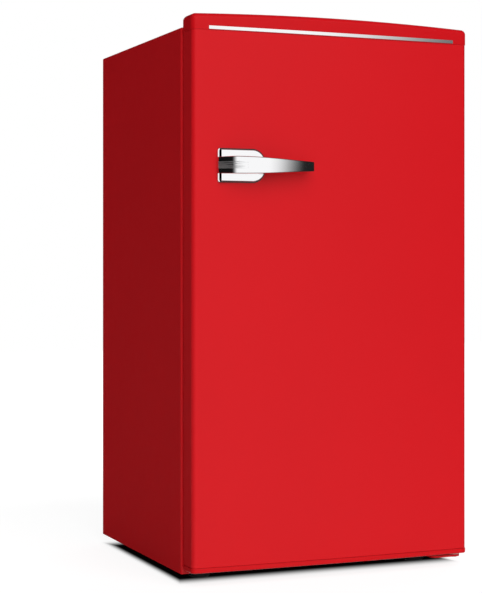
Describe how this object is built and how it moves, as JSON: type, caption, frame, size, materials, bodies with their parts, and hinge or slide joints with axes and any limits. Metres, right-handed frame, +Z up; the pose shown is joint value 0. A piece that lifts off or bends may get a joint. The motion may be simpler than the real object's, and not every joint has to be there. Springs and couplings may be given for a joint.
{
  "type": "mini fridge",
  "caption": "Compact single-door refrigerator with a crowned red door, chrome lever pull, chrome strip and a working cooling circuit behind.",
  "frame": {"origin": "floor level, in the middle of the overall box from the pull to the condenser", "axes": "-Y to the front (door), +X to the right as seen from the front, +Z up"},
  "size_m": [0.455, 0.4689, 0.834],
  "materials": {
    "red_paint": "smooth gloss paint on sheet steel",
    "red_moulding": "gloss moulding in the door colour",
    "chrome": "bright plating",
    "galvanised": "bare galvanised sheet",
    "black_paint": "satin black paint",
    "zinc": "zinc plated",
    "white_liner": "formed white plastic",
    "white_seal": "soft white seal",
    "foam": "pale foamed insulation",
    "clear_bin": "clear moulding",
    "shelf_glass": "toughened pane",
    "bare_aluminium": "bare rolled sheet",
    "black_rubber": "moulded rubber",
    "black_plastic": "matt moulding",
    "nylon": "natural nylon",
    "copper": "drawn copper"
  },
  "bodies": {
    "cabinet": {"outer_wrapper": "red_paint", "front_rail": "red_paint", "base_pan": "galvanised", "bay_panel": "galvanised", "rear_panel": "galvanised", "inner_liner": "white_liner", "cabinet_foam": "foam", "upper_hinge_plate": "zinc", "upper_hinge_pin": "zinc", "upper_hinge_screws": "zinc", "hinge_cover": "red_moulding", "lower_hinge_bracket": "red_paint", "lower_hinge_pin": "zinc", "lower_hinge_bolts": "zinc", "evaporator_box": "bare_aluminium", "evaporator_hangers": "white_liner", "freezer_frame": "white_liner", "thermostat_housing": "white_liner", "compressor": "black_paint", "compressor_grommets": "black_rubber", "compressor_bolts": "zinc", "terminal_cover": "black_plastic", "cord_gland": "black_rubber", "evaporation_tray": "black_plastic", "drain_tube": "nylon", "suction_tube": "copper", "discharge_tube": "black_paint", "condenser_tube": "black_paint", "condenser_wires": "black_paint", "condenser_clips": "black_plastic", "drier_tube": "copper", "filter_drier": "copper", "capillary_tube": "copper", "foot_sockets": "black_plastic", "rear_feet": "black_plastic"},
    "door": {"door_skin": "red_paint", "door_top_cap": "red_moulding", "door_bottom_cap": "red_moulding", "trim_strip": "chrome", "door_liner": "white_liner", "door_foam": "foam", "door_gasket": "white_seal", "handle_plate": "chrome", "handle_lever": "chrome", "handle_screws": "zinc", "upper_hinge_bush": "nylon", "lower_hinge_bush": "nylon", "bottle_bin": "clear_bin", "middle_bin": "clear_bin", "upper_bin": "clear_bin"},
    "freezer_flap": {"freezer_flap": "white_liner"},
    "drip_tray": {"drip_tray": "clear_bin"},
    "upper_shelf": {"upper_shelf_glass": "shelf_glass", "upper_shelf_trim": "white_liner"},
    "lower_shelf": {"lower_shelf_glass": "shelf_glass", "lower_shelf_trim": "white_liner"},
    "thermostat_knob": {"thermostat_knob": "white_liner"},
    "left_foot": {"left_levelling_foot": "black_plastic"},
    "right_foot": {"right_levelling_foot": "black_plastic"}
  },
  "joints": [
    {"name": "door_hinge", "type": "hinge", "parent": "cabinet", "child": "door", "pos_m": [0.214, -0.18655, 0.414], "axis": [0, 0, 1], "range_deg": [0, 100]},
    {"name": "freezer_flap_hinge", "type": "hinge", "parent": "cabinet", "child": "freezer_flap", "pos_m": [0, -0.02785, 0.652], "axis": [1, 0, 0], "range_deg": [0, 90]},
    {"name": "drip_tray_slide", "type": "slide", "parent": "cabinet", "child": "drip_tray", "axis": [0, -1, 0], "range_m": [0, 0.1]},
    {"name": "upper_shelf_slide", "type": "slide", "parent": "cabinet", "child": "upper_shelf", "axis": [0, -1, 0], "range_m": [0, 0.08]},
    {"name": "lower_shelf_slide", "type": "slide", "parent": "cabinet", "child": "lower_shelf", "axis": [0, -1, 0], "range_m": [0, 0.08]},
    {"name": "thermostat_turn", "type": "hinge", "parent": "cabinet", "child": "thermostat_knob", "pos_m": [0.1695, 0.03645, 0.569], "axis": [0, -1, 0], "range_deg": [-270, 0]},
    {"name": "left_foot_turn", "type": "hinge", "parent": "cabinet", "child": "left_foot", "pos_m": [-0.1815, -0.11755, 0], "axis": [0, 0, 1], "continuous": true},
    {"name": "right_foot_turn", "type": "hinge", "parent": "cabinet", "child": "right_foot", "pos_m": [0.1815, -0.11755, 0], "axis": [0, 0, 1], "continuous": true}
  ]
}
